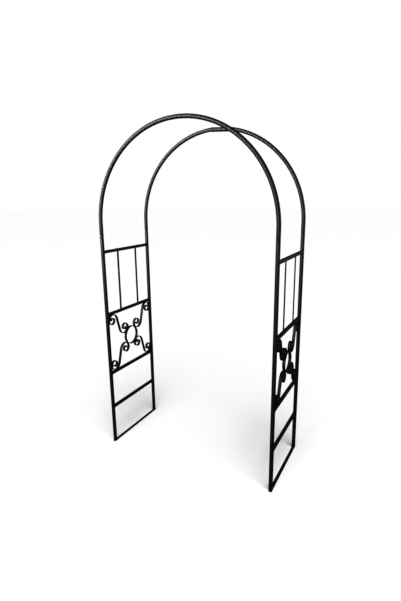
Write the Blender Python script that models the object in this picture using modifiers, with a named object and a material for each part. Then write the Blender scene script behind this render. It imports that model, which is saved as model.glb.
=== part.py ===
"""Garden arch in black painted steel: two trellis side panels and two hoops.

Metres, +Z up. The origin is on the ground, midway between the four posts. The way through the arch
runs along Y, so X goes from the left panel to the right one and Y from the front to the rear.
"""

import math

import bmesh
import bpy
from mathutils import Vector

# The arch as a whole
SPAN = 1.200  # between the post axes, left to right
DEPTH = 0.510  # between the post axes, front to rear
POST_TOP = 1.520
SPRING_HEIGHT = 1.590  # where a hoop leaves its straight legs for the half circle

# Round tube
POST_DIAMETER = 0.025
POST_WALL = 0.0015
HOOP_DIAMETER = 0.025
HOOP_WALL = 0.0012
SLIDE_GAP = 0.0003  # all round, where one tube slides in another
PLUG_DEPTH = 0.060  # length of a hoop's leg inside its post, swaged down to fit the bore
SWAGE_LENGTH = 0.003  # of the shoulder above the post, where the leg widens to its full size

# Cross rails, by the height of their middle
RUNG_HEIGHT = 0.275
LOWER_SCROLL_RAIL_HEIGHT = 0.535
UPPER_SCROLL_RAIL_HEIGHT = 0.970
TOP_RAIL_HEIGHT = 1.405
RAIL_SIDE = 0.019
RAIL_WALL = 0.0012
RAIL_CORNER = 0.0025

# Flat bar
BASE_WIDTH = 0.020
BASE_THICKNESS = 0.005
UPRIGHT_WIDTH = 0.015
UPRIGHT_THICKNESS = 0.005
UPRIGHT_SPACING = 0.203  # between the middles of a panel's two uprights
RIBBON_WIDTH = 0.020
RIBBON_THICKNESS = 0.004

# Scrolls and ring, all along the middle of the flat bar
RING_RADIUS = 0.067
RING_CONTACT = math.radians(45)  # where round the ring a scroll touches it, from the horizontal
OUTER_CURL = {"start": 0.052, "end": 0.014, "turn": math.radians(530)}
INNER_CURL = {"start": 0.055, "end": 0.013, "turn": math.radians(530)}

# Joints at the top of the hoops
PIN_LENGTH = 0.120  # inside the front hoop
PIN_WALL = 0.0015
SLEEVE_LENGTH = 0.148  # outside the rear hoop
SLEEVE_WALL = 0.0015
SLEEVE_SHIFT = 0.035  # from the hoop's middle towards the right
SLEEVE_LEAD = 0.004  # of straight tube between a sleeve's mouth and the bend
HALF_GAP = 0.001  # between the two halves of a hoop where they meet
END_STRAIGHT = 0.012  # at the end of each half of the front hoop, which the bender leaves straight

# Screws that hold the hoops in the posts
SCREW_DROP = 0.018  # below the top of the post
SCREW_TURN = math.radians(40)  # from straight forward or back towards the outside of the arch
SCREW_RADIUS = 0.0021
SCREW_LENGTH = 0.011
SCREW_HEAD_RADIUS = 0.0046
SCREW_HEAD_HEIGHT = 0.0026

TOUCH = 0.0003  # gap between pieces that are welded or rest on each other
MERGE = 0.00001

# How finely round shapes are faceted
POST_SIDES = 32
HOOP_SIDES = 16
ARC_STEPS = 15
CURL_STEP = math.radians(23)  # at most, from one facet of a scroll to the next
RING_STEPS = 40  # a multiple of 8 puts a corner where each scroll touches
CORNER_STEPS = 2
SCREW_SIDES = 20

PLUG_POINTS = 2  # of a hoop's path, from its foot to the top of its plug
SLOPE_HALVINGS = 50  # of the range in which the slope of a scroll is looked for

# Sizes that follow from the ones above
POST_RADIUS = POST_DIAMETER / 2
POST_BORE = POST_RADIUS - POST_WALL
PLUG_RADIUS = POST_BORE - SLIDE_GAP
HOOP_RADIUS = HOOP_DIAMETER / 2
HOOP_BORE = HOOP_RADIUS - HOOP_WALL
PIN_RADIUS = HOOP_BORE - SLIDE_GAP
SLEEVE_BORE = HOOP_RADIUS + SLIDE_GAP
POST_FOOT = BASE_THICKNESS + TOUCH
BEND_RADIUS = SPAN / 2
SCREW_HEIGHT = POST_TOP - SCREW_DROP
PANEL_MIDDLE = (LOWER_SCROLL_RAIL_HEIGHT + UPPER_SCROLL_RAIL_HEIGHT) / 2
PANEL_HALF_HEIGHT = (UPPER_SCROLL_RAIL_HEIGHT - LOWER_SCROLL_RAIL_HEIGHT) / 2

SIDES = {"left": -1, "right": 1}
ENDS = {"front": -1, "rear": 1}
RAILS = {
    "rung": RUNG_HEIGHT,
    "lower_scroll_rail": LOWER_SCROLL_RAIL_HEIGHT,
    "upper_scroll_rail": UPPER_SCROLL_RAIL_HEIGHT,
    "top_rail": TOP_RAIL_HEIGHT,
}


# ---------------------------------------------------------------- scene and materials


def clear_scene():
    for thing in list(bpy.data.objects):
        bpy.data.objects.remove(thing, do_unlink=True)


def new_collection(name):
    collection = bpy.data.collections.new(name)
    bpy.context.scene.collection.children.link(collection)
    return collection


def painted(piece, colour, roughness, metallic=0.0):
    """Gives a piece its own plain paint."""
    material = bpy.data.materials.new(piece.name + "_finish")
    material.use_nodes = True
    shader = material.node_tree.nodes["Principled BSDF"]
    shader.inputs["Base Color"].default_value = (*colour, 1.0)
    shader.inputs["Roughness"].default_value = roughness
    shader.inputs["Metallic"].default_value = metallic
    material.diffuse_color = (*colour, 1.0)
    piece.data.materials.clear()
    piece.data.materials.append(material)


def black_paint(piece):
    painted(piece, (0.012, 0.013, 0.014), 0.42)


def blackened_screw(piece):
    painted(piece, (0.020, 0.020, 0.021), 0.35, 0.8)


# ---------------------------------------------------------------- ways of making a piece


def put(piece, collection, parent=None, location=(0.0, 0.0, 0.0)):
    collection.objects.link(piece)
    piece.parent = parent
    piece.location = location
    return piece


def smooth(piece):
    piece.data.shade_smooth()
    piece.data.set_sharp_from_angle(angle=math.radians(30))


def mesh_from_curve(name, curve):
    """The surface of a curve as a mesh, with the points of its seams and caps made one."""
    holder = bpy.data.objects.new(name + "_curve", curve)
    bpy.context.scene.collection.objects.link(holder)
    graph = bpy.context.evaluated_depsgraph_get()
    mesh = bpy.data.meshes.new_from_object(holder.evaluated_get(graph))
    mesh.name = name
    shape = bmesh.new()
    shape.from_mesh(mesh)
    bmesh.ops.remove_doubles(shape, verts=shape.verts, dist=MERGE)
    shape.to_mesh(mesh)
    shape.free()
    bpy.data.objects.remove(holder, do_unlink=True)
    bpy.data.curves.remove(curve)
    return mesh


def poly_curve(name, points, dimensions, closed=False):
    curve = bpy.data.curves.new(name, "CURVE")
    curve.dimensions = dimensions
    spline = curve.splines.new("POLY")
    spline.points.add(len(points) - 1)
    for point, place in zip(spline.points, points):
        point.co = (*place, *[0.0] * (3 - len(place)), 1.0)
    spline.use_cyclic_u = closed
    return curve


def walled(piece, thickness, offset=0.0):
    wall = piece.modifiers.new("Wall", "SOLIDIFY")
    wall.thickness = thickness
    wall.offset = offset
    wall.use_even_offset = True


def strip(name, outline, width, thickness, closed=False):
    """Flat stock bent along an outline in its own XY plane, standing on edge: its width is along Z."""
    curve = poly_curve(name, outline, "2D", closed)
    curve.fill_mode = "NONE"
    curve.extrude = width / 2
    piece = bpy.data.objects.new(name, mesh_from_curve(name, curve))
    walled(piece, thickness)
    return piece


def bent_tube(name, path, radius, wall, plug_points=0):
    """Round tube along a path, open at both ends. Its first points may be swaged to fit a post."""
    curve = poly_curve(name, path, "3D")
    for point in curve.splines[0].points[:plug_points]:
        point.radius = PLUG_RADIUS / radius
    curve.bevel_depth = radius
    curve.bevel_resolution = HOOP_SIDES // 2 - 2
    curve.use_fill_caps = False
    piece = bpy.data.objects.new(name, mesh_from_curve(name, curve))
    walled(piece, wall, offset=-1.0)
    return piece


def turned(name, profile, steps, closed):
    """A profile of (radius, height) points, from the top down its outer side, turned about Z."""
    count = len(profile)
    edges = [(i, (i + 1) % count) for i in range(count if closed else count - 1)]
    mesh = bpy.data.meshes.new(name)
    mesh.from_pydata([(radius, 0.0, height) for radius, height in profile], edges, [])
    piece = bpy.data.objects.new(name, mesh)
    lathe = piece.modifiers.new("Turn", "SCREW")
    lathe.axis = "Z"
    lathe.steps = steps
    lathe.render_steps = steps
    lathe.use_merge_vertices = True
    lathe.merge_threshold = MERGE
    lathe.use_smooth_shade = True
    return piece


def straight_tube(name, radius, bore, bottom, top):
    profile = [(radius, top), (radius, bottom), (bore, bottom), (bore, top)]
    return turned(name, profile, POST_SIDES, closed=True)


def box(name, size):
    mesh = bpy.data.meshes.new(name)
    shape = bmesh.new()
    bmesh.ops.create_cube(shape, size=1.0)
    bmesh.ops.scale(shape, vec=Vector(size), verts=shape.verts)
    shape.to_mesh(mesh)
    shape.free()
    return bpy.data.objects.new(name, mesh)


def rod(name, radius, length, sides):
    mesh = bpy.data.meshes.new(name)
    shape = bmesh.new()
    bmesh.ops.create_cone(
        shape, cap_ends=True, segments=sides, radius1=radius, radius2=radius, depth=length
    )
    shape.to_mesh(mesh)
    shape.free()
    return bpy.data.objects.new(name, mesh)


def cut_by(piece, cutter):
    cut = piece.modifiers.new("Cut", "BOOLEAN")
    cut.operation = "DIFFERENCE"
    cut.solver = "EXACT"
    cut.object = cutter


def as_cutter(piece, collection, parent=None, location=(0.0, 0.0, 0.0)):
    put(piece, collection, parent, location)
    piece.hide_render = True
    piece.display_type = "WIRE"
    return piece


# ---------------------------------------------------------------- shapes of this arch


def polar(radius, angle):
    return radius * math.cos(angle), radius * math.sin(angle)


def curl(heading, size, stops):
    """Points of a bar that turns to the right from the origin, ever tighter, as far as the last stop.

    The stops are angles of turn, and each has a point of its own, so that what touches the bar there
    touches a corner of its facets. The bend radius falls by the same share for each degree.
    """
    place = Vector((0.0, 0.0))
    points = [place]
    turn = 0.0
    for stop in stops:
        steps = math.ceil((stop - turn) / CURL_STEP)
        step = (stop - turn) / steps
        for i in range(steps):
            middle = turn + (i + 0.5) * step
            radius = size["start"] * (size["end"] / size["start"]) ** (middle / size["turn"])
            chord = 2 * radius * math.sin(step / 2)
            place = place + Vector(polar(chord, heading - middle))
            points.append(place)
        turn = stop
    return points


def outer_stops(slope):
    """The outer curl touches the rail when it is level, and the post a quarter turn further on."""
    return [slope, slope + math.pi / 2]


def inner_stops(slope):
    return [slope + math.pi / 2 - RING_CONTACT]


def scroll_ends(slope):
    """Where the two curls of a scroll start, if the bar between them rises at this slope.

    Measured from the middle of the panel. The outer curl touches the rail and the post, and the
    inner one touches the ring.
    """
    reach = DEPTH / 2 - POST_RADIUS - RIBBON_THICKNESS / 2 - TOUCH
    height = PANEL_HALF_HEIGHT - RAIL_SIDE / 2 - RIBBON_THICKNESS / 2 - TOUCH
    to_rail = curl(slope, OUTER_CURL, outer_stops(slope)[:1])[-1]
    to_post = curl(slope, OUTER_CURL, outer_stops(slope))[-1]
    outer = Vector((reach - to_post.x, height - to_rail.y))
    to_ring = curl(slope + math.pi, INNER_CURL, inner_stops(slope))[-1]
    touching = Vector(polar(RING_RADIUS + RIBBON_THICKNESS + TOUCH, RING_CONTACT))
    return outer, touching - to_ring


def scroll_slope():
    """The slope at which the straight middle of a scroll meets both curls without a kink."""
    low = math.radians(20)
    high = math.radians(100)
    for _ in range(SLOPE_HALVINGS):
        slope = (low + high) / 2
        outer, inner = scroll_ends(slope)
        run = outer - inner
        if math.atan2(run.y, run.x) > slope:
            low = slope
        else:
            high = slope
    return slope


def scroll_outline():
    """The middle line of a scroll in the top rear quarter of a panel, from its middle."""
    slope = scroll_slope()
    outer, inner = scroll_ends(slope)
    outer_turns = outer_stops(slope) + [OUTER_CURL["turn"]]
    inner_turns = inner_stops(slope) + [INNER_CURL["turn"]]
    outer_curl = [outer + point for point in curl(slope, OUTER_CURL, outer_turns)]
    inner_curl = [inner + point for point in curl(slope + math.pi, INNER_CURL, inner_turns)]
    return outer_curl[::-1] + inner_curl


def square_outline():
    """Middle of the wall of a square rail, with rounded corners."""
    corner = RAIL_CORNER - RAIL_WALL / 2
    flat = RAIL_SIDE / 2 - RAIL_CORNER
    points = []
    for quarter in range(4):
        start = quarter * math.pi / 2
        middle = Vector(polar(flat * math.sqrt(2), start + math.pi / 4))
        for i in range(CORNER_STEPS + 1):
            points.append(middle + Vector(polar(corner, start + i * math.pi / 2 / CORNER_STEPS)))
    return points


def arc_point(angle):
    """A point of a hoop's half circle, at an angle from its top towards the right."""
    return Vector((BEND_RADIUS * math.sin(angle), 0.0, SPRING_HEIGHT + BEND_RADIUS * math.cos(angle)))


def leg_and_arc(side, stop):
    """Path of half a hoop, from the foot of its leg to the angle where the half circle stops."""
    seat = POST_TOP + TOUCH
    heights = (POST_TOP - PLUG_DEPTH, seat, seat + SWAGE_LENGTH)
    path = [Vector((side * BEND_RADIUS, 0.0, height)) for height in heights]
    for i in range(ARC_STEPS + 1):
        point = arc_point(math.pi / 2 + (stop - math.pi / 2) * i / ARC_STEPS)
        path.append(Vector((side * point.x, 0.0, point.z)))
    return path


def front_top_path():
    """The top of the front hoop on its right side: the end of the pin, then of the bend."""
    return [arc_point(PIN_LENGTH / 2 / BEND_RADIUS), arc_point(END_STRAIGHT / BEND_RADIUS)]


def front_half_path(side):
    """The two halves meet at the top, over the pin."""
    bend_end = front_top_path()[1]
    path = leg_and_arc(side, PIN_LENGTH / 2 / BEND_RADIUS)
    path.append(Vector((side * bend_end.x, 0.0, bend_end.z)))
    path.append(Vector((side * HALF_GAP / 2, 0.0, bend_end.z)))
    return path


def pin_path():
    right = front_top_path()
    left = [Vector((-point.x, 0.0, point.z)) for point in right]
    return left + right[::-1]


def sleeve_axis():
    """The middle of the rear sleeve and the way it points, along the chord between its bends."""
    half = SLEEVE_LENGTH / 2 + SLEEVE_LEAD
    middle_angle = SLEEVE_SHIFT / BEND_RADIUS
    half_angle = math.asin(half / BEND_RADIUS)
    left = arc_point(middle_angle - half_angle)
    right = arc_point(middle_angle + half_angle)
    return (left + right) / 2, (right - left).normalized()


def rear_half_path(side):
    """The half circle stops short of the sleeve, and the end of the tube is straight inside it."""
    half_angle = math.asin((SLEEVE_LENGTH / 2 + SLEEVE_LEAD) / BEND_RADIUS)
    path = leg_and_arc(side, half_angle + side * SLEEVE_SHIFT / BEND_RADIUS)
    middle, along = sleeve_axis()
    path.append(middle + along * side * HALF_GAP / 2)
    return path


# ---------------------------------------------------------------- building


def build_panel(side_name, side, parts, cutters):
    """One side of the arch: posts, base bar, rails, uprights, scrolls and ring."""
    panel = bpy.data.objects.new(side_name + "_panel", None)
    put(panel, parts, location=(side * SPAN / 2, 0.0, 0.0))
    upright_bottom = UPPER_SCROLL_RAIL_HEIGHT + RAIL_SIDE / 2 + TOUCH
    upright_top = TOP_RAIL_HEIGHT - RAIL_SIDE / 2 - TOUCH
    saddles = []
    for end_name, end in ENDS.items():
        corner = side_name + "_" + end_name
        place = (0.0, end * DEPTH / 2, 0.0)
        post = straight_tube(corner + "_post", POST_RADIUS, POST_BORE, POST_FOOT, POST_TOP)
        put(post, parts, panel, place)
        black_paint(post)
        saddle = rod(corner + "_saddle_cutter", POST_RADIUS + TOUCH, POST_TOP, POST_SIDES)
        saddles.append(as_cutter(saddle, cutters, panel, (0.0, end * DEPTH / 2, POST_TOP / 2)))

        upright_size = (UPRIGHT_THICKNESS, UPRIGHT_WIDTH, upright_top - upright_bottom)
        upright = box(corner + "_upright", upright_size)
        middle = (upright_bottom + upright_top) / 2
        put(upright, parts, panel, (0.0, end * UPRIGHT_SPACING / 2, middle))
        black_paint(upright)

    base = box(side_name + "_base_bar", (BASE_WIDTH, DEPTH + POST_DIAMETER, BASE_THICKNESS))
    put(base, parts, panel, (0.0, 0.0, BASE_THICKNESS / 2))
    black_paint(base)

    for rail_name, height in RAILS.items():
        rail = strip(side_name + "_" + rail_name, square_outline(), DEPTH, RAIL_WALL, closed=True)
        put(rail, parts, panel, (0.0, 0.0, height))
        rail.rotation_euler = (math.pi / 2, 0.0, 0.0)
        for saddle in saddles:
            cut_by(rail, saddle)
        smooth(rail)
        black_paint(rail)

    # Bent flat bar stands with its width across the panel, so its outlines lie in the YZ plane.
    across = (math.pi / 2, 0.0, math.pi / 2)
    outline = scroll_outline()
    for level_name, level in {"lower": -1, "upper": 1}.items():
        for end_name, end in ENDS.items():
            points = [(end * point.x, level * point.y) for point in outline]
            name = f"{side_name}_{level_name}_{end_name}_scroll"
            scroll = strip(name, points, RIBBON_WIDTH, RIBBON_THICKNESS)
            put(scroll, parts, panel, (0.0, 0.0, PANEL_MIDDLE))
            scroll.rotation_euler = across
            smooth(scroll)
            black_paint(scroll)

    round_outline = [polar(RING_RADIUS, math.tau * i / RING_STEPS) for i in range(RING_STEPS)]
    ring = strip(side_name + "_ring", round_outline, RIBBON_WIDTH, RIBBON_THICKNESS, closed=True)
    put(ring, parts, panel, (0.0, 0.0, PANEL_MIDDLE))
    ring.rotation_euler = across
    smooth(ring)
    black_paint(ring)


def screw_profile():
    """Low domed head on a plain shank, from the top of the head down."""
    dome = [polar(1.0, math.radians(angle)) for angle in (90, 60, 30, 0)]
    profile = [(SCREW_HEAD_RADIUS * across, SCREW_HEAD_HEIGHT * up) for across, up in dome]
    profile[0] = (0.0, SCREW_HEAD_HEIGHT)
    profile += [(SCREW_RADIUS, 0.0), (SCREW_RADIUS, -SCREW_LENGTH), (0.0, -SCREW_LENGTH)]
    return profile


def build_corner_screw(side_name, side, end_name, end, parts, cutters):
    """The screw that passes through the walls of one post and the hoop's leg inside it."""
    corner = side_name + "_" + end_name
    outward = Vector((side * math.sin(SCREW_TURN), end * math.cos(SCREW_TURN), 0.0))
    turn = outward.to_track_quat("Z", "Y").to_euler()
    axis = Vector((side * SPAN / 2, end * DEPTH / 2, SCREW_HEIGHT))

    screw = turned(corner + "_screw", screw_profile(), SCREW_SIDES, closed=False)
    put(screw, parts, location=axis + outward * (POST_RADIUS + TOUCH))
    screw.rotation_euler = turn
    blackened_screw(screw)

    drill = rod(corner + "_drill", SCREW_RADIUS + TOUCH, POST_DIAMETER, SCREW_SIDES)
    as_cutter(drill, cutters, location=axis + outward * POST_DIAMETER / 2)
    drill.rotation_euler = turn
    for drilled in (corner + "_post", f"{end_name}_hoop_{side_name}_half"):
        cut_by(bpy.data.objects[drilled], drill)


def build_hoop(end_name, end, half_path, parts):
    for side_name, side in SIDES.items():
        name = f"{end_name}_hoop_{side_name}_half"
        half = bent_tube(name, half_path(side), HOOP_RADIUS, HOOP_WALL, PLUG_POINTS)
        put(half, parts, location=(0.0, end * DEPTH / 2, 0.0))
        smooth(half)
        black_paint(half)


def build_hoop_joints(parts):
    """The pin hidden in the top of the front hoop, and the sleeve round the rear one."""
    pin = bent_tube("front_hoop_joining_pin", pin_path(), PIN_RADIUS, PIN_WALL)
    put(pin, parts, location=(0.0, ENDS["front"] * DEPTH / 2, 0.0))
    smooth(pin)
    black_paint(pin)

    middle, along = sleeve_axis()
    half = SLEEVE_LENGTH / 2
    sleeve = straight_tube(
        "rear_hoop_sleeve", SLEEVE_BORE + SLEEVE_WALL, SLEEVE_BORE, -half, half
    )
    put(sleeve, parts, location=middle + Vector((0.0, ENDS["rear"] * DEPTH / 2, 0.0)))
    sleeve.rotation_euler = along.to_track_quat("Z", "Y").to_euler()
    black_paint(sleeve)


def main():
    clear_scene()
    parts = new_collection("garden_arch")
    cutters = new_collection("cutters")
    for side_name, side in SIDES.items():
        build_panel(side_name, side, parts, cutters)
    build_hoop("front", ENDS["front"], front_half_path, parts)
    build_hoop("rear", ENDS["rear"], rear_half_path, parts)
    build_hoop_joints(parts)
    for side_name, side in SIDES.items():
        for end_name, end in ENDS.items():
            build_corner_screw(side_name, side, end_name, end, parts, cutters)


main()
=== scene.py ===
import math

import bmesh
import bpy
from mathutils import Matrix, Quaternion, Vector


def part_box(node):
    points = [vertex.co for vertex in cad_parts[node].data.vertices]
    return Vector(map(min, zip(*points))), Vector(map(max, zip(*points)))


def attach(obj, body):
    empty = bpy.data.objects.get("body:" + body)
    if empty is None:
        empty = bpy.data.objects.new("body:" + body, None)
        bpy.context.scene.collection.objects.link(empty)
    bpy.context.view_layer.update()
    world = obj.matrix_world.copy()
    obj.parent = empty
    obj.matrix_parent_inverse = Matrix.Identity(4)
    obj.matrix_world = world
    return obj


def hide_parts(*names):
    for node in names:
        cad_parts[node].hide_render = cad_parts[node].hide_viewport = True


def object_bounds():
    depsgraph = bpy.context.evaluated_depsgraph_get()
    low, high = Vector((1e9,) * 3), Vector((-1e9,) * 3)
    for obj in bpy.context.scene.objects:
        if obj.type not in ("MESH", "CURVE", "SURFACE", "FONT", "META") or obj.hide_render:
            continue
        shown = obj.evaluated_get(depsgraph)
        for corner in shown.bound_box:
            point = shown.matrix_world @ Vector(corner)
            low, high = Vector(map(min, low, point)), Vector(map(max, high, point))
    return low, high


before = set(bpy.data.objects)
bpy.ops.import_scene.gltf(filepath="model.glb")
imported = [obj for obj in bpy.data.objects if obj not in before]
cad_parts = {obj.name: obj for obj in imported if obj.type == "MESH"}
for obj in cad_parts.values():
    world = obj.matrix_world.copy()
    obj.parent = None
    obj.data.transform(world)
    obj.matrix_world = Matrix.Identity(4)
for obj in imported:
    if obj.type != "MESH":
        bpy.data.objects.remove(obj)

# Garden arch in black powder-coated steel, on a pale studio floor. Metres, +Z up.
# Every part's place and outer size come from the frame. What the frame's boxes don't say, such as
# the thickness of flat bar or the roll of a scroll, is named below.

MM = 0.001
cad_low, cad_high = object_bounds()

SIDES = {"left": -1, "right": 1}
ENDS = {"front": -1, "rear": 1}
LEVELS = {"lower": -1, "upper": 1}
RAILS = ("rung", "lower_scroll_rail", "upper_scroll_rail", "top_rail")

# Stock, as it comes from the mill
POST_WALL = 1.5 * MM
HOOP_WALL = 1.2 * MM
SWAGE_LENGTH = 3 * MM  # of the shoulder where a hoop's leg widens from its plug to its full size
SWAGE_STEPS = 6
TUBE_SIDES = 48
POST_SIDES = 64
PIN_WALL = 1.5 * MM
SLEEVE_WALL = 1.5 * MM
RAIL_WALL = 1.2 * MM
RAIL_CORNER = 2.5 * MM
BAR_CORNER = 0.7 * MM  # along the edges of flat bar
SAWN_EDGE = 0.35 * MM  # on sawn and filed ends
RIBBON_THICKNESS = 4 * MM  # flat bar of the scrolls and rings
TOUCH = 0.3 * MM  # gap between pieces that are welded together
STRAIGHT_PIECES = 12  # that a straight length is divided into
EASED_ANGLE = math.radians(38)  # an edge that turns by more than this is filed
SHARP_ANGLE = math.radians(35)  # an edge that turns by more than this is shaded as an edge

# Scrolls: the bend radius falls from start to end, by the same share for each degree of the turn
OUTER_CURL = {"start": 52 * MM, "end": 14 * MM, "turn": math.radians(530)}
INNER_CURL = {"start": 55 * MM, "end": 13 * MM, "turn": math.radians(530)}
CURL_STEPS = 96
SLOPE_HALVINGS = 50  # of the range in which the slope of a scroll is looked for
RING_CONTACT = math.radians(45)  # where round the ring a scroll touches it, from the horizontal
RING_STEPS = 96

# Joints at the top of the hoops
SLEEVE_LENGTH = 148 * MM
SLEEVE_LEAD = 4 * MM  # of straight tube between the sleeve's mouth and the bend
PIN_LENGTH = 120 * MM
HALF_GAP = 1 * MM  # between the two halves of a hoop
END_STRAIGHT = 12 * MM  # left straight by the bender, at the top of each half of the front hoop
ARC_STEPS = 90

# Welds
RAIL_BEAD = 1.9 * MM
BAR_BEAD = 1.4 * MM
FOOT_BEAD = 1.8 * MM
TACK_BEAD = 1.7 * MM
TACK_LENGTH = 10 * MM
BEAD_PITCH = 1.9 * MM  # from one ripple of a bead to the next
POINTS_PER_RIPPLE = 5.0
SEAM_PROUD = 0.35  # share of a bead's radius by which its middle stands clear of the corner
FOOT_PROUD = 0.3
FOOT_STEPS = 16
CORNER_STEPS = 4
RAIL_TACK_INSET = 0.4 * MM  # from the edge of the scroll's bar
POST_TACK_LIFT = 1.2 * MM  # from the scroll towards the post
POST_TACK_SHARE = 0.62  # of half the bar's width, where the round post comes near it

# Screws
SCREW_TURN = math.radians(40)  # from straight forward or back towards the outside of the arch
SCREW_DROP = 18 * MM  # below the top of the post
SCREW_HEAD = 4.6 * MM
SCREW_DOME = 2.6 * MM
SCREW_RADIUS = 2.1 * MM
SCREW_LENGTH = 11 * MM
RECESS_WIDTH = 1.1 * MM
RECESS_REACH = 2.6 * MM
RECESS_DEPTH = 1.5 * MM
RECESS_TAPER = 0.55  # width of a blade's foot, as a share of its top
HEAD_FLAT = 0.35  # share of the head's radius that is flat on top
HEAD_RIM = 0.35  # share of the head's height below its dome
HEAD_EASING = 0.15 * MM  # at the edge of the head's seat
SCREW_STEPS = 48


def middle_of(node):
    low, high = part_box(node)
    return (low + high) / 2


def size_of(node):
    low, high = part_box(node)
    return high - low


POST_RADIUS = size_of("left_front_post").x / 2
POST_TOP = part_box("left_front_post")[1].z
PLUG_RADIUS = POST_RADIUS - POST_WALL - TOUCH
POST_X = middle_of("right_front_post").x
POST_Y = middle_of("left_rear_post").y
HOOP_RADIUS = size_of("front_hoop_left_half").y / 2
BEND_RADIUS = POST_X
SPRING_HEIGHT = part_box("front_hoop_left_half")[1].z - HOOP_RADIUS - BEND_RADIUS
LEG_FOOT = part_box("front_hoop_left_half")[0].z
RIBBON_WIDTH = size_of("left_ring").x
RING_RADIUS = (size_of("left_ring").z - RIBBON_THICKNESS) / 2
PANEL_MIDDLE = middle_of("left_ring").z
RAIL_SIDE = size_of("left_rung").z


# ---------------------------------------------------------------- nodes


def add_node(tree, kind, settings=None, inputs=None):
    """Adds a node with its settings and its inputs, which are values or other nodes' outputs."""
    node = tree.nodes.new(kind)
    for name, value in (settings or {}).items():
        setattr(node, name, value)
    for key, value in (inputs or {}).items():
        socket = node.inputs[key]
        if isinstance(value, bpy.types.NodeSocket):
            tree.links.new(value, socket)
        else:
            socket.default_value = value
    return node


# The sockets of a Mix node that mixes colours
FIRST_COLOUR = 6
SECOND_COLOUR = 7
MIXED_COLOUR = 2


def linear(code):
    """An sRGB hex colour, such as #1a1b1d, as linear red, green, blue and alpha."""
    shares = [int(code[i : i + 2], 16) / 255 for i in (1, 3, 5)]
    return tuple(
        s / 12.92 if s <= 0.04045 else ((s + 0.055) / 1.055) ** 2.4 for s in shares
    ) + (1.0,)


def new_material(name):
    """A material with an empty tree, and that tree."""
    material = bpy.data.materials.new(name)
    material.use_nodes = True
    material.node_tree.nodes.clear()
    return material, material.node_tree


# ---------------------------------------------------------------- materials


def powder_coated_steel():
    """Mild steel, shot-blasted and electrostatically powder-coated satin black.

    The eye sees a near-black skin with the soft, pebbled gloss of orange peel. The film is thinner
    and a little greyer along sharp edges, and its thickness drifts slowly over a tube. A trace of
    pale dust lies on what faces up.
    """
    material, tree = new_material("satin_black_powder_coat")
    place = add_node(tree, "ShaderNodeTexCoord")
    peel = add_node(  # real orange peel is 1 to 3 mm across, and is drawn at 4 mm to show at all
        tree,
        "ShaderNodeTexNoise",
        inputs={"Vector": place.outputs["Object"], "Scale": 1 / (4 * MM), "Detail": 2.0},
    )
    drift = add_node(
        tree,
        "ShaderNodeTexNoise",
        inputs={"Vector": place.outputs["Object"], "Scale": 1 / (90 * MM), "Detail": 3.0},
    )
    specks = add_node(  # clots of powder that stand proud, 9 mm apart and 1 mm wide at half height
        tree,
        "ShaderNodeTexVoronoi",
        inputs={"Vector": place.outputs["Object"], "Scale": 1 / (9 * MM)},
    )
    rounded = add_node(tree, "ShaderNodeBevel", {"samples": 4}, {"Radius": 1.5 * MM})
    surface = add_node(tree, "ShaderNodeNewGeometry")
    straightness = add_node(
        tree,
        "ShaderNodeVectorMath",
        {"operation": "DOT_PRODUCT"},
        {0: rounded.outputs["Normal"], 1: surface.outputs["Normal"]},
    )
    edge = add_node(  # 1 where the surface turns a corner, 0 where it runs on
        tree,
        "ShaderNodeMapRange",
        inputs={"Value": straightness.outputs["Value"], "From Min": 0.98, "From Max": 0.75},
    )
    upward = add_node(tree, "ShaderNodeSeparateXYZ", inputs={0: surface.outputs["Normal"]})
    dust_cover = add_node(
        tree,
        "ShaderNodeMapRange",
        inputs={"Value": upward.outputs["Z"], "From Min": 0.55, "To Max": 0.02},
    )
    film = add_node(
        tree,
        "ShaderNodeMapRange",
        inputs={"Value": drift.outputs["Fac"], "From Min": 0.35, "From Max": 0.65},
    )
    coat = add_node(
        tree,
        "ShaderNodeMix",
        {"data_type": "RGBA"},
        {
            "Factor": film.outputs["Result"],
            FIRST_COLOUR: linear("#121314"),
            SECOND_COLOUR: linear("#191a1c"),
        },
    )
    worn = add_node(
        tree,
        "ShaderNodeMix",
        {"data_type": "RGBA"},
        {
            "Factor": edge.outputs["Result"],
            FIRST_COLOUR: coat.outputs[MIXED_COLOUR],
            SECOND_COLOUR: linear("#26282a"),
        },
    )
    dusted = add_node(
        tree,
        "ShaderNodeMix",
        {"data_type": "RGBA"},
        {
            "Factor": dust_cover.outputs["Result"],
            FIRST_COLOUR: worn.outputs[MIXED_COLOUR],
            SECOND_COLOUR: linear("#8d8b86"),
        },
    )
    roughness = add_node(
        tree,
        "ShaderNodeMapRange",
        inputs={
            "Value": drift.outputs["Fac"],
            "From Min": 0.3,
            "From Max": 0.7,
            "To Min": 0.46,
            "To Max": 0.56,
        },
    )
    grain = add_node(
        tree,
        "ShaderNodeMapRange",
        inputs={
            "Value": specks.outputs["Distance"],
            "From Max": 0.12,
            "To Min": 1.0,
            "To Max": 0.0,
        },
    )
    height = add_node(
        tree,
        "ShaderNodeMath",
        {"operation": "MULTIPLY_ADD"},
        {0: grain.outputs["Result"], 1: 0.35, 2: peel.outputs["Fac"]},
    )
    bump = add_node(
        tree,
        "ShaderNodeBump",
        inputs={"Strength": 0.2, "Distance": 0.25 * MM, "Height": height.outputs[0]},
    )
    shader = add_node(
        tree,
        "ShaderNodeBsdfPrincipled",
        inputs={
            "Base Color": dusted.outputs[MIXED_COLOUR],
            "Roughness": roughness.outputs["Result"],
            "IOR": 1.5,
            "Normal": bump.outputs["Normal"],
        },
    )
    add_node(tree, "ShaderNodeOutputMaterial", inputs={"Surface": shader.outputs["BSDF"]})
    return material


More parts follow.
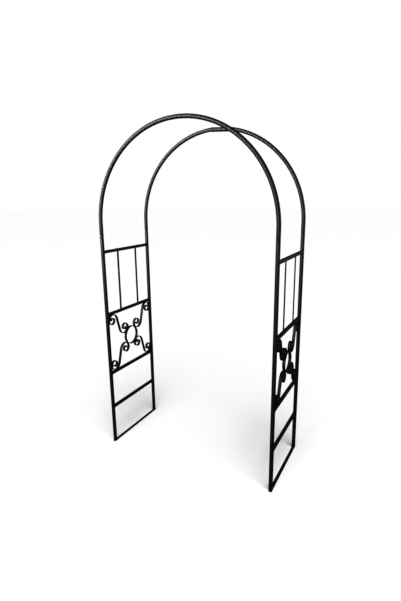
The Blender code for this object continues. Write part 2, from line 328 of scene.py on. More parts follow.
def black_oxide_steel():
    """Carbon steel screws, cold-headed and dipped in hot black oxide.

    The eye sees a dark metal with a broken, oily sheen, a little brighter than the paint round it.
    """
    material, tree = new_material("black_oxide_steel")
    place = add_node(tree, "ShaderNodeTexCoord")
    mottle = add_node(
        tree,
        "ShaderNodeTexNoise",
        inputs={"Vector": place.outputs["Object"], "Scale": 1 / (1.2 * MM), "Detail": 3.0},
    )
    oxide = add_node(
        tree,
        "ShaderNodeMix",
        {"data_type": "RGBA"},
        {
            "Factor": mottle.outputs["Fac"],
            FIRST_COLOUR: linear("#2c2d30"),
            SECOND_COLOUR: linear("#45464a"),
        },
    )
    roughness = add_node(
        tree,
        "ShaderNodeMapRange",
        inputs={
            "Value": mottle.outputs["Fac"],
            "From Min": 0.3,
            "From Max": 0.7,
            "To Min": 0.3,
            "To Max": 0.48,
        },
    )
    shader = add_node(
        tree,
        "ShaderNodeBsdfPrincipled",
        inputs={
            "Base Color": oxide.outputs[MIXED_COLOUR],
            "Metallic": 1.0,
            "Roughness": roughness.outputs["Result"],
        },
    )
    add_node(tree, "ShaderNodeOutputMaterial", inputs={"Surface": shader.outputs["BSDF"]})
    return material


def studio_floor():
    """Matt emulsion rolled over board: pale, almost white, with no gloss."""
    material, tree = new_material("matt_white_emulsion")
    place = add_node(tree, "ShaderNodeTexCoord")
    roller = add_node(  # where the roller's passes overlap
        tree,
        "ShaderNodeTexNoise",
        inputs={"Vector": place.outputs["Object"], "Scale": 1 / (833 * MM), "Detail": 2.0},
    )
    pale = add_node(
        tree,
        "ShaderNodeMix",
        {"data_type": "RGBA"},
        {
            "Factor": roller.outputs["Fac"],
            FIRST_COLOUR: linear("#f1f1f0"),
            SECOND_COLOUR: linear("#f4f4f4"),
        },
    )
    shader = add_node(
        tree,
        "ShaderNodeBsdfPrincipled",
        inputs={
            "Base Color": pale.outputs[MIXED_COLOUR],
            "Roughness": 0.9,
            "Specular IOR Level": 0.1,
        },
    )
    add_node(tree, "ShaderNodeOutputMaterial", inputs={"Surface": shader.outputs["BSDF"]})
    return material


# ---------------------------------------------------------------- geometry trees


def new_tree(name, sizes, model=None):
    """A geometry tree whose inputs are a path, named sizes, a material and maybe a model."""
    tree = bpy.data.node_groups.new(name, "GeometryNodeTree")
    tree.interface.new_socket("Geometry", in_out="OUTPUT", socket_type="NodeSocketGeometry")
    tree.interface.new_socket("Path", in_out="INPUT", socket_type="NodeSocketGeometry")
    for size, value in sizes.items():
        kind = "NodeSocketInt" if isinstance(value, int) else "NodeSocketFloat"
        socket = tree.interface.new_socket(size, in_out="INPUT", socket_type=kind)
        socket.default_value = value
    tree.interface.new_socket("Material", in_out="INPUT", socket_type="NodeSocketMaterial")
    if model:
        tree.interface.new_socket(model, in_out="INPUT", socket_type="NodeSocketObject")
    return tree, add_node(tree, "NodeGroupInput").outputs


def end_tree(tree, given, mesh):
    """Ends a tree the way the export needs: no instances, one material."""
    real = add_node(tree, "GeometryNodeRealizeInstances", inputs={"Geometry": mesh})
    shaded = add_node(
        tree, "GeometryNodeSetShadeSmooth", inputs={"Geometry": real.outputs["Geometry"]}
    )
    painted = add_node(
        tree,
        "GeometryNodeSetMaterial",
        inputs={"Geometry": shaded.outputs["Geometry"], "Material": given["Material"]},
    )
    add_node(tree, "NodeGroupOutput", inputs={"Geometry": painted.outputs["Geometry"]})
    return tree


def round_tube_tree():
    """The outer skin of a round tube along a path, open at both ends.

    The path's 'share' attribute is the share of the full radius at each point.
    """
    tree, given = new_tree("round_tube", {"Radius": 10 * MM, "Sides": 48})
    path = add_node(tree, "GeometryNodeMeshToCurve", inputs={"Mesh": given["Path"]})
    share = add_node(
        tree, "GeometryNodeInputNamedAttribute", {"data_type": "FLOAT"}, {"Name": "share"}
    )
    circle = add_node(
        tree,
        "GeometryNodeCurvePrimitiveCircle",
        inputs={"Resolution": given["Sides"], "Radius": given["Radius"]},
    )
    skin = add_node(
        tree,
        "GeometryNodeCurveToMesh",
        inputs={
            "Curve": path.outputs["Curve"],
            "Profile Curve": circle.outputs["Curve"],
            "Scale": share.outputs["Attribute"],
        },
    )
    return end_tree(tree, given, skin.outputs["Mesh"])


def flat_stock_tree(name, capped):
    """Bar or tube with a rounded rectangle for its section, along a path."""
    sizes = {"Width": 20 * MM, "Thickness": 4 * MM, "Corner": 1 * MM, "Corner Steps": 4}
    tree, given = new_tree(name, sizes)
    path = add_node(tree, "GeometryNodeMeshToCurve", inputs={"Mesh": given["Path"]})
    section = add_node(
        tree,
        "GeometryNodeCurvePrimitiveQuadrilateral",
        inputs={"Width": given["Width"], "Height": given["Thickness"]},
    )
    eased = add_node(
        tree,
        "GeometryNodeFilletCurve",
        {"mode": "POLY"},
        {
            "Curve": section.outputs["Curve"],
            "Count": given["Corner Steps"],
            "Radius": given["Corner"],
        },
    )
    skin = add_node(
        tree,
        "GeometryNodeCurveToMesh",
        inputs={
            "Curve": path.outputs["Curve"],
            "Profile Curve": eased.outputs["Curve"],
            "Fill Caps": capped,
        },
    )
    return end_tree(tree, given, skin.outputs["Mesh"])


def weld_bead_tree():
    """A bead along a path: overlapping ripples, a width that wanders, and rounded ends.

    Each ripple is where the welder's hand paused. A closed path gives a bead with no ends.
    """
    sizes = {"Bead": 2 * MM, "Pitch": BEAD_PITCH, "Sides": 9, "Seed": 0.0}
    tree, given = new_tree("weld_bead", sizes)
    path = add_node(tree, "GeometryNodeMeshToCurve", inputs={"Mesh": given["Path"]})
    step = add_node(
        tree, "ShaderNodeMath", {"operation": "DIVIDE"}, {0: given["Pitch"], 1: POINTS_PER_RIPPLE}
    )
    even = add_node(
        tree,
        "GeometryNodeResampleCurve",
        {"mode": "LENGTH"},
        {"Curve": path.outputs["Curve"], "Length": step.outputs[0]},
    )
    along = add_node(tree, "GeometryNodeSplineParameter")
    ripples = add_node(
        tree,
        "ShaderNodeMath",
        {"operation": "DIVIDE"},
        {0: along.outputs["Length"], 1: given["Pitch"]},
    )
    phase = add_node(tree, "ShaderNodeMath", {"operation": "FRACT"}, {0: ripples.outputs[0]})
    ripple = add_node(
        tree,
        "ShaderNodeMapRange",
        inputs={"Value": phase.outputs[0], "To Min": 1.12, "To Max": 0.86},
    )
    spot = add_node(tree, "GeometryNodeInputPosition")
    wander = add_node(
        tree,
        "ShaderNodeTexNoise",
        {"noise_dimensions": "4D"},
        {"Vector": spot.outputs[0], "W": given["Seed"], "Scale": 1 / (6 * MM)},
    )
    swell = add_node(
        tree,
        "ShaderNodeMapRange",
        inputs={
            "Value": wander.outputs["Fac"],
            "From Min": 0.25,
            "From Max": 0.75,
            "To Min": 0.8,
            "To Max": 1.2,
        },
    )
    rippled = add_node(
        tree,
        "ShaderNodeMath",
        {"operation": "MULTIPLY"},
        {0: ripple.outputs["Result"], 1: swell.outputs["Result"]},
    )
    back = add_node(
        tree, "ShaderNodeMath", {"operation": "SUBTRACT"}, {0: 1.0, 1: along.outputs["Factor"]}
    )
    nearest_end = add_node(
        tree,
        "ShaderNodeMath",
        {"operation": "MINIMUM"},
        {0: along.outputs["Factor"], 1: back.outputs[0]},
    )
    taper = add_node(
        tree,
        "ShaderNodeMapRange",
        inputs={"Value": nearest_end.outputs[0], "From Max": 0.12, "To Min": 0.35},
    )
    closed = add_node(tree, "GeometryNodeInputSplineCyclic")
    whole = add_node(
        tree,
        "GeometryNodeSwitch",
        {"input_type": "FLOAT"},
        {"Switch": closed.outputs["Cyclic"], "False": taper.outputs["Result"], "True": 1.0},
    )
    share = add_node(
        tree,
        "ShaderNodeMath",
        {"operation": "MULTIPLY"},
        {0: rippled.outputs[0], 1: whole.outputs["Output"]},
    )
    circle = add_node(
        tree,
        "GeometryNodeCurvePrimitiveCircle",
        inputs={"Resolution": given["Sides"], "Radius": given["Bead"]},
    )
    bead = add_node(
        tree,
        "GeometryNodeCurveToMesh",
        inputs={
            "Curve": even.outputs["Curve"],
            "Profile Curve": circle.outputs["Curve"],
            "Scale": share.outputs[0],
            "Fill Caps": True,
        },
    )
    return end_tree(tree, given, bead.outputs["Mesh"])


def scattered_screw_tree():
    """One screw set on every point of a mesh, its axis along the point's 'outward' attribute."""
    tree, given = new_tree("screws", {}, model="Screw")
    model = add_node(tree, "GeometryNodeObjectInfo", inputs={"Object": given["Screw"]})
    outward = add_node(
        tree,
        "GeometryNodeInputNamedAttribute",
        {"data_type": "FLOAT_VECTOR"},
        {"Name": "outward"},
    )
    facing = add_node(
        tree,
        "FunctionNodeAlignRotationToVector",
        {"axis": "Z"},
        {"Vector": outward.outputs["Attribute"]},
    )
    placed = add_node(
        tree,
        "GeometryNodeInstanceOnPoints",
        inputs={
            "Points": given["Path"],
            "Instance": model.outputs["Geometry"],
            "Rotation": facing.outputs["Rotation"],
        },
    )
    return end_tree(tree, given, placed.outputs["Instances"])


# ---------------------------------------------------------------- making a piece


def path_mesh(name, points, closed=False):
    """A line of edges through points, for a geometry tree to follow."""
    edges = [(i, i + 1) for i in range(len(points) - 1)]
    if closed:
        edges.append((len(points) - 1, 0))
    mesh = bpy.data.meshes.new(name)
    mesh.from_pydata([tuple(point) for point in points], edges, [])
    return mesh


def many_paths(name, runs):
    """Several lines in one mesh. Each run is its points and whether it is closed."""
    shape = bmesh.new()
    for points, closed in runs:
        corners = [shape.verts.new(point) for point in points]
        for first, second in zip(corners, corners[1:]):
            shape.edges.new((first, second))
        if closed:
            shape.edges.new((corners[-1], corners[0]))
    mesh = bpy.data.meshes.new(name)
    shape.to_mesh(mesh)
    shape.free()
    return mesh


def grown(name, mesh, tree, sizes, wall=None, sawn=None):
    """Runs a tree on a mesh, gives the result a wall and eased ends, and keeps it as a plain mesh."""
    piece = bpy.data.objects.new(name, mesh)
    bpy.context.scene.collection.objects.link(piece)
    shape = piece.modifiers.new("Shape", "NODES")
    shape.node_group = tree
    for size, value in sizes.items():
        shape[tree.interface.items_tree[size].identifier] = value
    if wall:
        thick = piece.modifiers.new("Wall", "SOLIDIFY")
        thick.thickness = wall
        thick.offset = -1.0
        thick.use_even_offset = True
    if sawn:
        eased = piece.modifiers.new("Eased ends", "BEVEL")
        eased.width = sawn
        eased.segments = 2
        eased.limit_method = "ANGLE"
        eased.angle_limit = EASED_ANGLE
    graph = bpy.context.evaluated_depsgraph_get()
    solid = bpy.data.meshes.new_from_object(piece.evaluated_get(graph))
    piece.modifiers.clear()
    piece.data = solid
    solid.name = name
    solid.set_sharp_from_angle(angle=SHARP_ANGLE)
    return piece


def installed(piece, slot, *nodes):
    """Every piece rides on the one body. A piece that stands for no node is a weld."""
    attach(piece, "root")
    if nodes:
        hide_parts(*nodes)
    return piece


def tube(name, points, radius, wall, sides=TUBE_SIDES, shares=None):
    """Round tube along points. Shares are those of the full radius, where it is swaged narrower."""
    sizes = {"Radius": radius, "Sides": sides, "Material": PAINT}
    path = path_mesh(name, points)
    share = path.attributes.new("share", "FLOAT", "POINT")
    for value, amount in zip(share.data, shares or [1.0] * len(points)):
        value.value = amount
    return grown(name, path, ROUND_TUBE, sizes, wall=wall, sawn=SAWN_EDGE)


def bar(name, points, width, thickness, closed=False):
    sizes = {
        "Width": width,
        "Thickness": thickness,
        "Corner": BAR_CORNER,
        "Corner Steps": 3,
        "Material": PAINT,
    }
    sawn = None if closed else SAWN_EDGE
    return grown(name, path_mesh(name, points, closed), FLAT_BAR, sizes, sawn=sawn)


def straight(middle, reach, pieces=STRAIGHT_PIECES):
    """Points of a straight length, which reaches as far before its middle as after it."""
    start = middle - reach
    end = middle + reach
    return [start.lerp(end, i / pieces) for i in range(pieces + 1)]


# ---------------------------------------------------------------- posts, rails and bars


def build_posts():
    for side_name in SIDES:
        for end_name in ENDS:
            name = f"{side_name}_{end_name}_post"
            axis = straight(middle_of(name), Vector((0.0, 0.0, size_of(name).z / 2)))
            piece = tube(name + "_tube", axis, POST_RADIUS, POST_WALL, POST_SIDES)
            installed(piece, "black_paint", name)


def post_face(across, clearance):
    """How far a post's surface stands from its axis along Y, at a distance across from the axis."""
    return math.sqrt((POST_RADIUS + clearance) ** 2 - across**2)


def build_rails():
    """Square tube, its ends coped to the posts they are welded to."""
    for side_name in SIDES:
        for rail in RAILS:
            name = f"{side_name}_{rail}"
            middle = middle_of(name)
            reach = Vector((0.0, size_of(name).y / 2, 0.0))
            sizes = {
                "Width": RAIL_SIDE,
                "Thickness": RAIL_SIDE,
                "Corner": RAIL_CORNER,
                "Corner Steps": 6,
                "Material": PAINT,
            }
            path = path_mesh(name, straight(middle, reach, 1))
            piece = grown(name + "_tube", path, SQUARE_TUBE, sizes, wall=RAIL_WALL)
            for vertex in piece.data.vertices:
                end = math.copysign(1.0, vertex.co.y)
                across = vertex.co.x - middle.x
                vertex.co.y = end * (POST_Y - post_face(across, TOUCH))
            installed(piece, "black_paint", name)


def build_base_bars():
    for side_name in SIDES:
        name = f"{side_name}_base_bar"
        size = size_of(name)
        line = straight(middle_of(name), Vector((0.0, size.y / 2, 0.0)))
        installed(bar(name + "_flat", line, size.x, size.z), "black_paint", name)


def build_uprights():
    for side_name in SIDES:
        for end_name in ENDS:
            name = f"{side_name}_{end_name}_upright"
            size = size_of(name)
            line = straight(middle_of(name), Vector((0.0, 0.0, size.z / 2)))
            installed(bar(name + "_flat", line, size.x, size.y), "black_paint", name)


# ---------------------------------------------------------------- scrolls and rings


def polar(radius, angle):
    return Vector((radius * math.cos(angle), radius * math.sin(angle)))


def curl(heading, size, turn=None):
    """Points of a bar that turns to the right from the origin, ever tighter, as far as turn."""
    turn = size["turn"] if turn is None else turn
    steps = max(1, round(CURL_STEPS * turn / size["turn"]))
    step = turn / steps
    place = Vector((0.0, 0.0))
    points = [place.copy()]
    for i in range(steps):
        share = (i + 0.5) * step / size["turn"]
        radius = size["start"] * (size["end"] / size["start"]) ** share
        chord = 2 * radius * math.sin(step / 2)
        place = place + polar(chord, heading - (i + 0.5) * step)
        points.append(place.copy())
    return points


def scroll_ends(slope):
    """Where the two curls of a scroll start, if the bar between them rises at this slope.

    Measured from the middle of the panel. The outer curl touches the rail and the post, and the
    inner one touches the ring.
    """
    rail_face = middle_of("left_upper_scroll_rail").z - PANEL_MIDDLE - RAIL_SIDE / 2
    reach = POST_Y - POST_RADIUS - RIBBON_THICKNESS / 2 - TOUCH
    height = rail_face - RIBBON_THICKNESS / 2 - TOUCH
    to_rail = curl(slope, OUTER_CURL, slope)[-1]
    to_post = curl(slope, OUTER_CURL, slope + math.pi / 2)[-1]
    outer = Vector((reach - to_post.x, height - to_rail.y))
    to_ring = curl(slope + math.pi, INNER_CURL, slope + math.pi / 2 - RING_CONTACT)[-1]
    touching = polar(RING_RADIUS + RIBBON_THICKNESS + TOUCH, RING_CONTACT)
    contacts = {"rail": outer + to_rail, "post": outer + to_post, "ring": touching}
    return outer, touching - to_ring, contacts


def scroll_line():
    """The middle line of a scroll in the top rear quarter of a panel, and where it touches.

    The slope is the one at which the straight middle meets both curls without a kink.
    """
    low = math.radians(20)
    high = math.radians(100)
    for _ in range(SLOPE_HALVINGS):
        slope = (low + high) / 2
        outer, inner, contacts = scroll_ends(slope)
        run = outer - inner
        if math.atan2(run.y, run.x) > slope:
            low = slope
        else:
            high = slope
    outer_curl = [outer + point for point in curl(slope, OUTER_CURL)]
    inner_curl = [inner + point for point in curl(slope + math.pi, INNER_CURL)]
    return outer_curl[::-1] + inner_curl, contacts


def in_panel(side, end, level, point, out=0.0):
    """A point of the top rear quarter, mirrored into one quarter of one panel."""
    return Vector((side * POST_X + out, end * point.x, PANEL_MIDDLE + level * point.y))


def build_scrolls(line):
    for side_name, side in SIDES.items():
        for level_name, level in LEVELS.items():
            for end_name, end in ENDS.items():
                name = f"{side_name}_{level_name}_{end_name}_scroll"
                path = [in_panel(side, end, level, point) for point in line]
                piece = bar(name + "_bar", path, RIBBON_WIDTH, RIBBON_THICKNESS)
                installed(piece, "black_paint", name)


def build_rings():
    circle = [polar(RING_RADIUS, math.tau * i / RING_STEPS) for i in range(RING_STEPS)]
    for side_name, side in SIDES.items():
        path = [in_panel(side, 1, 1, point) for point in circle]
        piece = bar(side_name + "_ring_bar", path, RIBBON_WIDTH, RIBBON_THICKNESS, closed=True)
        installed(piece, "black_paint", side_name + "_ring")


# ---------------------------------------------------------------- hoops


def arc_point(angle, end):
    """A point of a hoop's half circle, at an angle from its top towards the right."""
    across = BEND_RADIUS * math.sin(angle)
    return Vector((across, end * POST_Y, SPRING_HEIGHT + BEND_RADIUS * math.cos(angle)))


def leg_and_arc(side, end, stop):
    """Half a hoop, from the foot of its leg to the angle where the half circle stops."""
    heights = [LEG_FOOT]
    for i in range(SWAGE_STEPS + 1):
        heights.append(POST_TOP + TOUCH + SWAGE_LENGTH * i / SWAGE_STEPS)
    points = [Vector((side * POST_X, end * POST_Y, height)) for height in heights]
    for i in range(ARC_STEPS + 1):
        angle = math.pi / 2 + (stop - math.pi / 2) * i / ARC_STEPS
        points.append(arc_point(side * angle, end))
    return points


def swaged(points):
    """The shares of the full radius along a hoop: its leg is narrow where it plugs into the post."""
    shares = []
    for point in points:
        risen = min(max((point.z - POST_TOP - TOUCH) / SWAGE_LENGTH, 0.0), 1.0)
        eased = risen * risen * (3 - 2 * risen)
        shares.append(1 + (1 - eased) * (PLUG_RADIUS / HOOP_RADIUS - 1))
    return shares


def build_hoop_half(name, points):
    piece = tube(name + "_tube", points, HOOP_RADIUS, HOOP_WALL, shares=swaged(points))
    installed(piece, "black_paint", name)


def build_front_hoop():
    """Its halves meet flush at the top, over a pin."""
    end = ENDS["front"]
    pin_angle = PIN_LENGTH / 2 / BEND_RADIUS
    flat_top = arc_point(END_STRAIGHT / BEND_RADIUS, end)
    for side_name, side in SIDES.items():
        points = leg_and_arc(side, end, pin_angle)
        points.append(Vector((side * flat_top.x, flat_top.y, flat_top.z)))
        points.append(Vector((side * HALF_GAP / 2, flat_top.y, flat_top.z)))
        build_hoop_half(f"front_hoop_{side_name}_half", points)
    right = [arc_point(pin_angle, end), flat_top]
    left = [Vector((-point.x, point.y, point.z)) for point in right]
    pin_radius = HOOP_RADIUS - HOOP_WALL - TOUCH
    pin = tube("front_hoop_pin_tube", left + right[::-1], pin_radius, PIN_WALL)
    installed(pin, "black_paint", "front_hoop_joining_pin")


def build_rear_hoop():
    """Its halves end straight inside a sleeve that sits a little right of the top."""
    end = ENDS["rear"]
    middle = middle_of("rear_hoop_sleeve")
    turn = math.atan2(middle.x, middle.z - SPRING_HEIGHT)
    along = Vector((math.cos(turn), 0.0, -math.sin(turn)))
    half_angle = math.asin((SLEEVE_LENGTH / 2 + SLEEVE_LEAD) / BEND_RADIUS)
    for side_name, side in SIDES.items():
        points = leg_and_arc(side, end, half_angle + side * turn)
        points.append(middle + along * side * HALF_GAP / 2)
        build_hoop_half(f"rear_hoop_{side_name}_half", points)
    axis = straight(middle, along * SLEEVE_LENGTH / 2)
    outside = HOOP_RADIUS + TOUCH + SLEEVE_WALL
    sleeve = tube("rear_hoop_sleeve_tube", axis, outside, SLEEVE_WALL)
    installed(sleeve, "black_paint", "rear_hoop_sleeve")


# ---------------------------------------------------------------- welds


def welds(name, runs, bead, seed):
    sizes = {"Bead": bead, "Seed": seed, "Material": PAINT}
    return installed(grown(name, many_paths(name, runs), WELD_BEAD, sizes), "black_paint")


def around_rail(rail, end):
    """The seam between a rail's end and the post: round the tube's square, on the post's face."""
    middle = middle_of(rail)
    proud = RAIL_BEAD * SEAM_PROUD
    flat = RAIL_SIDE / 2 - RAIL_CORNER
    points = []
    for quarter in range(4):
        start = quarter * math.pi / 2
        corner = polar(flat * math.sqrt(2), start + math.pi / 4)
        for i in range(CORNER_STEPS + 1):
            turn = start + i * math.pi / 2 / CORNER_STEPS
            spot = corner + polar(RAIL_CORNER + proud, turn)
            reach = POST_Y - post_face(spot.x, proud)
            points.append(Vector((middle.x + spot.x, end * reach, middle.z + spot.y)))
    return points


def around_bar(node, level):
    """The seam round an end of an upright, on the face of the rail it stands on or hangs from."""
    low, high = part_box(node)
    middle = (low + high) / 2
    proud = BAR_BEAD * SEAM_PROUD
    half = Vector((high.x - middle.x + proud, high.y - middle.y + proud))
    height = (low if level < 0 else high).z - level * proud
    corners = [(1, 1), (-1, 1), (-1, -1), (1, -1)]
    return [Vector((middle.x + a * half.x, middle.y + b * half.y, height)) for a, b in corners]


def foot_arcs(side, end):
    """The two seams of a post on the base bar, front and back, where the bar is under its wall."""
    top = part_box("left_base_bar")[1].z
    half_width = size_of("left_base_bar").x / 2
    proud = FOOT_BEAD * FOOT_PROUD
    widest = math.asin((half_width - FOOT_BEAD) / POST_RADIUS)
    arcs = []
    for facing in (-1, 1):
        points = []
        for i in range(FOOT_STEPS + 1):
            angle = widest * (2 * i / FOOT_STEPS - 1)
            spot = polar(POST_RADIUS + proud, facing * math.pi / 2 + angle)
            points.append(Vector((side * POST_X + spot.x, end * POST_Y + spot.y, top + proud)))
        arcs.append(points)
    return arcs


def scroll_tacks(side, end, level, contacts):
    """Short beads where a scroll touches the rail, the post and the ring, on both its edges."""
    half = TACK_LENGTH / 2
    outward = RIBBON_THICKNESS / 2
    edge = RIBBON_WIDTH / 2
    rail = contacts["rail"] + Vector((0.0, outward))
    post = contacts["post"] + Vector((outward + POST_TACK_LIFT, 0.0))
    ring = contacts["ring"] - polar(outward, RING_CONTACT)
    ring_way = polar(1.0, RING_CONTACT + math.pi / 2)
    runs = []
    for face in (-1, 1):
        for spot, way, out in (
            (rail, Vector((1.0, 0.0)), edge - RAIL_TACK_INSET),
            (post, Vector((0.0, 1.0)), edge * POST_TACK_SHARE),
            (ring, ring_way, edge),
        ):
            ends = [spot - way * half, spot, spot + way * half]
            runs.append(([in_panel(side, end, level, p, face * out) for p in ends], False))
    return runs


def build_welds(contacts):
    for number, (side_name, side) in enumerate(SIDES.items()):
        rails = [f"{side_name}_{rail}" for rail in RAILS]
        seams = [(around_rail(rail, end), True) for rail in rails for end in ENDS.values()]
        welds(side_name + "_rail_welds", seams, RAIL_BEAD, 10.0 * number + 1)
        bars = [f"{side_name}_{end_name}_upright" for end_name in ENDS]
        seams = [(around_bar(node, level), True) for node in bars for level in (-1, 1)]
        welds(side_name + "_upright_welds", seams, BAR_BEAD, 10.0 * number + 2)
        seams = [(arc, False) for end in ENDS.values() for arc in foot_arcs(side, end)]
        welds(side_name + "_foot_welds", seams, FOOT_BEAD, 10.0 * number + 3)
        seams = []
        for end in ENDS.values():
            for level in LEVELS.values():
                seams += scroll_tacks(side, end, level, contacts)
        welds(side_name + "_scroll_tacks", seams, TACK_BEAD, 10.0 * number + 4)


# ---------------------------------------------------------------- screws


def turned(name, profile, steps):
    """A profile of (radius, height) points, from the top down its outer side, turned about Z."""
    mesh = path_mesh(name, [(radius, 0.0, height) for radius, height in profile])
    piece = bpy.data.objects.new(name, mesh)
    lathe = piece.modifiers.new("Turn", "SCREW")
    lathe.axis = "Z"
    lathe.steps = steps
    lathe.render_steps = steps
    lathe.use_merge_vertices = True
    lathe.merge_threshold = 0.01 * MM
    return piece


def cross_recess():
    """Cutter for a cross recess: two tapered blades at right angles."""
    shape = bmesh.new()
    for turn in (0.0, math.pi / 2):
        blade = bmesh.ops.create_cube(shape, size=1.0)["verts"]
        for corner in blade:
            deep = corner.co.z < 0
            reach = RECESS_REACH * (RECESS_TAPER if deep else 1.0)
            corner.co.x *= 2 * reach
            corner.co.y *= RECESS_WIDTH
            corner.co.z = SCREW_DOME - RECESS_DEPTH if deep else SCREW_DOME + MM
        bmesh.ops.rotate(shape, verts=blade, matrix=Matrix.Rotation(turn, 3, "Z"))
    mesh = bpy.data.meshes.new("cross_recess")
    shape.to_mesh(mesh)
    shape.free()
    return bpy.data.objects.new("cross_recess", mesh)


def screw_model():
    """One pan-head screw with a cross recess, its head's seat at the origin."""
    dome = [polar(1.0, math.radians(angle)) for angle in range(90, -1, -9)]
    profile = [(0.0, SCREW_DOME)]
    for up in dome:
        across = HEAD_FLAT + (1 - HEAD_FLAT) * up.x
        height = HEAD_RIM + (1 - HEAD_RIM) * up.y
        profile.append((SCREW_HEAD * across, SCREW_DOME * height))
    profile += [(SCREW_HEAD, HEAD_EASING), (SCREW_HEAD - HEAD_EASING, 0.0)]
    profile += [(SCREW_RADIUS, 0.0), (SCREW_RADIUS, -SCREW_LENGTH + MM), (0.0, -SCREW_LENGTH)]
    screw = turned("screw_model", profile, SCREW_STEPS)
    cutter = cross_recess()
    for thing in (screw, cutter):
        bpy.context.scene.collection.objects.link(thing)
    cut = screw.modifiers.new("Recess", "BOOLEAN")
    cut.operation = "DIFFERENCE"
    cut.solver = "EXACT"
    cut.use_self = True
    cut.object = cutter
    graph = bpy.context.evaluated_depsgraph_get()
    mesh = bpy.data.meshes.new_from_object(screw.evaluated_get(graph))
    screw.modifiers.clear()
    screw.data = mesh
    bpy.data.objects.remove(cutter)
    return screw


def build_screws():
    model = screw_model()
    points = []
    facings = []
    for side in SIDES.values():
        for end in ENDS.values():
            outward = Vector((side * math.sin(SCREW_TURN), end * math.cos(SCREW_TURN), 0.0))
            axis = Vector((side * POST_X, end * POST_Y, POST_TOP - SCREW_DROP))
            points.append(axis + outward * (POST_RADIUS + TOUCH))
            facings.append(outward)
    mesh = path_mesh("hoop_screws", points)
    facing = mesh.attributes.new("outward", "FLOAT_VECTOR", "POINT")
    for value, outward in zip(facing.data, facings):
        value.vector = outward
    piece = grown("hoop_screws", mesh, SCREWS, {"Screw": model, "Material": SCREW_STEEL})
    bpy.data.objects.remove(model)
    nodes = [f"{side_name}_{end_name}_screw" for side_name in SIDES for end_name in ENDS]
    installed(piece, "blackened_screw", *nodes)


# ---------------------------------------------------------------- studio


FLOOR_REACH = 60.0
FLOOR_DROP = 0.2 * MM  # below the base bars
FLOOR_LIGHT = 3.85
FLOOR_LIGHT_WAY = (0.25, -0.45, 1.0)
FLOOR_LIGHT_SPREAD = math.radians(40)

# The room that the paint mirrors: its colour overhead, at eye level and underfoot
CEILING_COLOUR = "#5c636c"
WALL_COLOUR = "#26282a"
GROUND_COLOUR = "#6a6e74"
ROOM_LIMIT = 0.9  # height above or below eye level, on a unit sphere, where a colour is full
ROOM_LIGHT = 0.6

# Softboxes
CROWN_LIGHT = 26.0
CROWN_PLACE = (-1.7, -2.9, 2.5)
CROWN_AIM_SHIFT = -0.4  # from the middle of the arch towards the left
CROWN_AIM_RISE = 0.7  # share of the bend radius above where the bends start
CROWN_SIZE = 1.4
CROWN_SPREAD = math.radians(38)  # a grid keeps it on the hoops
CROWN_COLOUR = (0.74, 0.86, 1.0)  # of sky light
FILL_LIGHT = 110.0
FILL_PLACE = (1.0, -4.5, 1.6)
FILL_SIZE = 2.5
SIDE_LIGHT = 20.0
SIDE_PLACE = (2.6, 2.0, 1.6)
SIDE_SIZE = 1.6
WHITE = (1.0, 1.0, 1.0)
PRINT_GAMMA = 0.75  # darkens the thin bars' edges, which blend with the white behind them

CAMERA_PLACE = Vector((1.2561, -2.3734, 1.7485))
CAMERA_AZIMUTH = math.radians(28.38)  # 0 looks along +Y
CAMERA_ELEVATION = math.radians(13.57)
CAMERA_ROLL = math.radians(-0.84)
CAMERA_LENS = 24.71  # millimetres, on a frame 36 mm high
CAMERA_SHIFT = (0.0051, -0.0050)


def build_camera():
    camera = bpy.data.cameras.new("camera")
    camera.lens = CAMERA_LENS
    camera.sensor_width = 36.0
    camera.shift_x, camera.shift_y = CAMERA_SHIFT
    holder = bpy.data.objects.new("camera", camera)
    bpy.context.scene.collection.objects.link(holder)
    level = math.cos(CAMERA_ELEVATION)
    back = Vector(
        (
            math.sin(CAMERA_AZIMUTH) * level,
            -math.cos(CAMERA_AZIMUTH) * level,
            math.sin(CAMERA_ELEVATION),
        )
    )
    aim = (-back).to_track_quat("-Z", "Y") @ Quaternion((0.0, 0.0, 1.0), CAMERA_ROLL)
    holder.location = CAMERA_PLACE
    holder.rotation_mode = "QUATERNION"
    holder.rotation_quaternion = aim
    bpy.context.scene.camera = holder


def linked(name, lit, state):
    """What a lamp shines on: only this object, or everything but this object."""
    receivers = bpy.data.collections.new(name)
    receivers.objects.link(lit)
    receivers.collection_objects[0].light_linking.link_state = state
    return receivers


def build_floor():
    """A pale floor that the paint doesn't mirror, with a light of its own to keep it pale."""
    shape = bmesh.new()
    bmesh.ops.create_grid(shape, x_segments=1, y_segments=1, size=FLOOR_REACH)
    mesh = bpy.data.meshes.new("floor")
    shape.to_mesh(mesh)
    shape.free()
    mesh.materials.append(studio_floor())
    floor = bpy.data.objects.new("floor", mesh)
    floor.location.z = cad_low.z - FLOOR_DROP
    floor.visible_glossy = False
    floor.visible_diffuse = False
    bpy.context.scene.collection.objects.link(floor)
    light = aimed_lamp("floor_light", "SUN", FLOOR_LIGHT_WAY, (0.0, 0.0, 0.0))
    light.data.energy = FLOOR_LIGHT
    light.data.angle = FLOOR_LIGHT_SPREAD
    light.light_linking.receiver_collection = linked("only_the_floor", floor, "INCLUDE")
    return linked("all_but_the_floor", floor, "EXCLUDE")


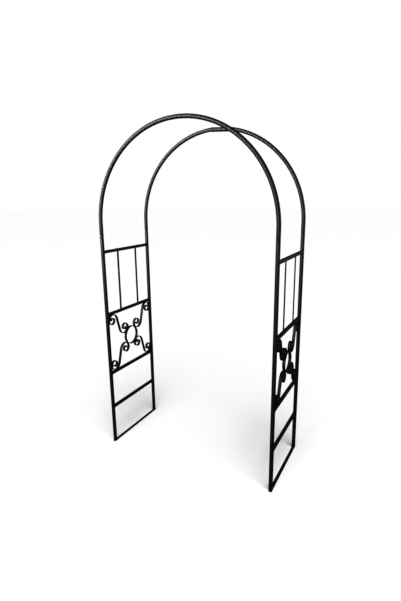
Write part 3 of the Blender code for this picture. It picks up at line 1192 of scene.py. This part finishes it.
def build_backdrop():
    """White to the camera. What the paint mirrors is a dark room, paler overhead and underfoot."""
    world = bpy.data.worlds.new("studio")
    bpy.context.scene.world = world
    world.use_nodes = True
    tree = world.node_tree
    tree.nodes.clear()
    place = add_node(tree, "ShaderNodeTexCoord")
    way = add_node(tree, "ShaderNodeSeparateXYZ", inputs={0: place.outputs["Generated"]})
    around = linear(WALL_COLOUR)
    for colour, limit in ((CEILING_COLOUR, ROOM_LIMIT), (GROUND_COLOUR, -ROOM_LIMIT)):
        share = add_node(
            tree, "ShaderNodeMapRange", inputs={"Value": way.outputs["Z"], "From Max": limit}
        )
        mix = add_node(
            tree,
            "ShaderNodeMix",
            {"data_type": "RGBA"},
            {
                "Factor": share.outputs["Result"],
                FIRST_COLOUR: around,
                SECOND_COLOUR: linear(colour),
            },
        )
        around = mix.outputs[MIXED_COLOUR]
    room = add_node(
        tree, "ShaderNodeBackground", inputs={"Color": around, "Strength": ROOM_LIGHT}
    )
    white = add_node(
        tree, "ShaderNodeBackground", inputs={"Color": linear("#ffffff"), "Strength": 1.0}
    )
    seen = add_node(tree, "ShaderNodeLightPath").outputs["Is Camera Ray"]
    mixed = add_node(
        tree, "ShaderNodeMixShader", inputs={0: seen, 1: room.outputs[0], 2: white.outputs[0]}
    )
    add_node(tree, "ShaderNodeOutputWorld", inputs={"Surface": mixed.outputs[0]})


def aimed_lamp(name, kind, place, aim):
    """A lamp at a place, shining at what it aims for."""
    lamp = bpy.data.objects.new(name, bpy.data.lights.new(name, kind))
    bpy.context.scene.collection.objects.link(lamp)
    lamp.location = place
    lamp.rotation_mode = "QUATERNION"
    lamp.rotation_quaternion = (Vector(place) - Vector(aim)).to_track_quat("Z", "Y")
    lamp.visible_camera = False
    return lamp


def build_lights(receivers):
    """Softboxes for the arch alone: one for the hoops, one in front and one behind on the right."""
    crown = (CROWN_AIM_SHIFT, 0.0, SPRING_HEIGHT + CROWN_AIM_RISE * BEND_RADIUS)
    middle = (0.0, 0.0, PANEL_MIDDLE)
    for name, place, aim, power, size, colour, spread in (
        ("crown_softbox", CROWN_PLACE, crown, CROWN_LIGHT, CROWN_SIZE, CROWN_COLOUR, CROWN_SPREAD),
        ("front_softbox", FILL_PLACE, middle, FILL_LIGHT, FILL_SIZE, WHITE, math.pi),
        ("side_softbox", SIDE_PLACE, middle, SIDE_LIGHT, SIDE_SIZE, WHITE, math.pi),
    ):
        box = aimed_lamp(name, "AREA", place, aim)
        box.data.energy = power
        box.data.size = size
        box.data.color = colour
        box.data.spread = spread
        box.light_linking.receiver_collection = receivers
    bpy.context.scene.view_settings.view_transform = "Standard"
    bpy.context.scene.view_settings.gamma = PRINT_GAMMA


PAINT = powder_coated_steel()
SCREW_STEEL = black_oxide_steel()
ROUND_TUBE = round_tube_tree()
SQUARE_TUBE = flat_stock_tree("square_tube", capped=False)
FLAT_BAR = flat_stock_tree("flat_bar", capped=True)
WELD_BEAD = weld_bead_tree()
SCREWS = scattered_screw_tree()

build_camera()
all_but_the_floor = build_floor()
build_backdrop()
build_lights(all_but_the_floor)
build_posts()
build_rails()
build_base_bars()
build_uprights()
scroll_middle_line, scroll_contacts = scroll_line()
build_scrolls(scroll_middle_line)
build_rings()
build_front_hoop()
build_rear_hoop()
build_screws()
build_welds(scroll_contacts)
